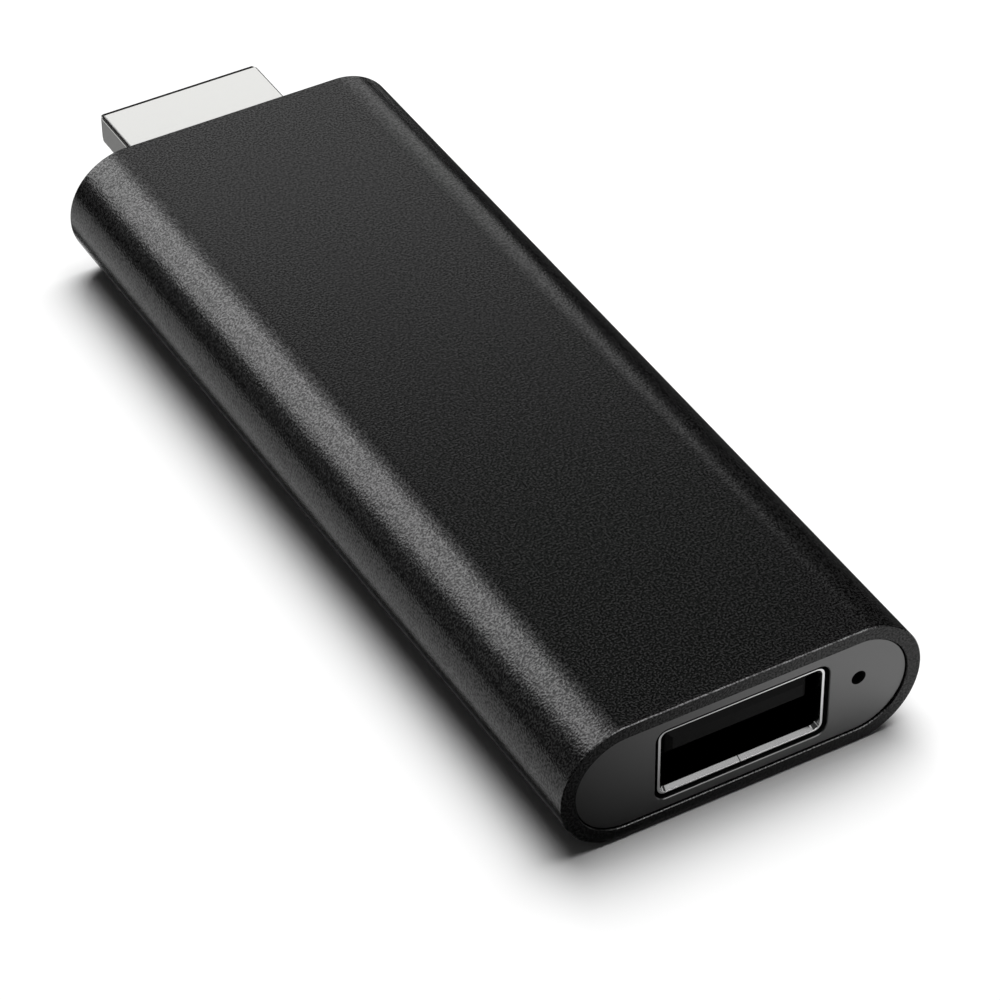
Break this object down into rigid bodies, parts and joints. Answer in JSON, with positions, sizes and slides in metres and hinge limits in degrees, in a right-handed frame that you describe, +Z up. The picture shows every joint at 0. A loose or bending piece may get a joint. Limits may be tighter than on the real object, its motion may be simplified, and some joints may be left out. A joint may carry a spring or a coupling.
{
  "type": "hdmi stick computer",
  "caption": "Flat round-sided stick computer with a display plug at one end and a USB port and a reset pinhole at the other",
  "frame": {"origin": "centre of the bottom of the whole object, plug included, on the surface that it lies on", "axes": "+Z up, +Y from the USB end towards the plug, +X to the right seen from the USB end"},
  "size_m": [0.0284, 0.0846, 0.0102],
  "materials": {
    "sleeve": "fine spark-eroded grain, matte black",
    "bezel": "smooth satin, dark grey",
    "tray": "moulded, dark grey",
    "screw_steel": "nickel plated",
    "board": "solder mask, green",
    "port_steel": "bright nickel plate",
    "plug_steel": "satin nickel plate",
    "can_steel": "tinned sheet",
    "insulator": "moulded, black",
    "contacts": "gold plated",
    "chip": "moulded, black",
    "plunger": "moulded, ivory",
    "ferrite": "pressed, dark grey",
    "capacitor": "fired, tan",
    "antenna": "fired, off-white",
    "module_board": "solder mask, blue",
    "thermal_pad": "soft silicone, pale grey",
    "spreader": "mill finish"
  },
  "bodies": {
    "stick": {"outer_sleeve": "sleeve", "front_bezel": "bezel", "rear_bezel": "bezel", "board_tray": "tray", "board_screws": "screw_steel", "main_board": "board", "usb_a_shell": "port_steel", "usb_a_housing": "insulator", "usb_a_contacts": "contacts", "hdmi_shell": "plug_steel", "hdmi_insulator": "insulator", "hdmi_contacts": "contacts", "micro_usb_shell": "port_steel", "micro_usb_housing": "insulator", "micro_usb_contacts": "contacts", "reset_switch_body": "chip", "reset_switch_cover": "can_steel", "reset_dome": "can_steel", "processor": "chip", "memory_chips": "chip", "flash_chip": "chip", "power_chip": "chip", "power_inductors": "ferrite", "capacitors": "capacitor", "clock_crystals": "can_steel", "wireless_board": "module_board", "wireless_shield": "can_steel", "chip_antennas": "antenna", "shield_frame": "can_steel", "shield_lid": "can_steel", "gap_filler": "thermal_pad", "thermal_pad": "thermal_pad", "heat_spreader": "spreader"},
    "reset_button": {"reset_plunger": "plunger"}
  },
  "joints": [
    {"name": "reset_press", "type": "slide", "parent": "stick", "child": "reset_button", "axis": [0, 1, 0], "range_m": [0, 0.00025], "stiffness_N_per_m": 4000, "deforming": ["reset_dome"]}
  ]
}
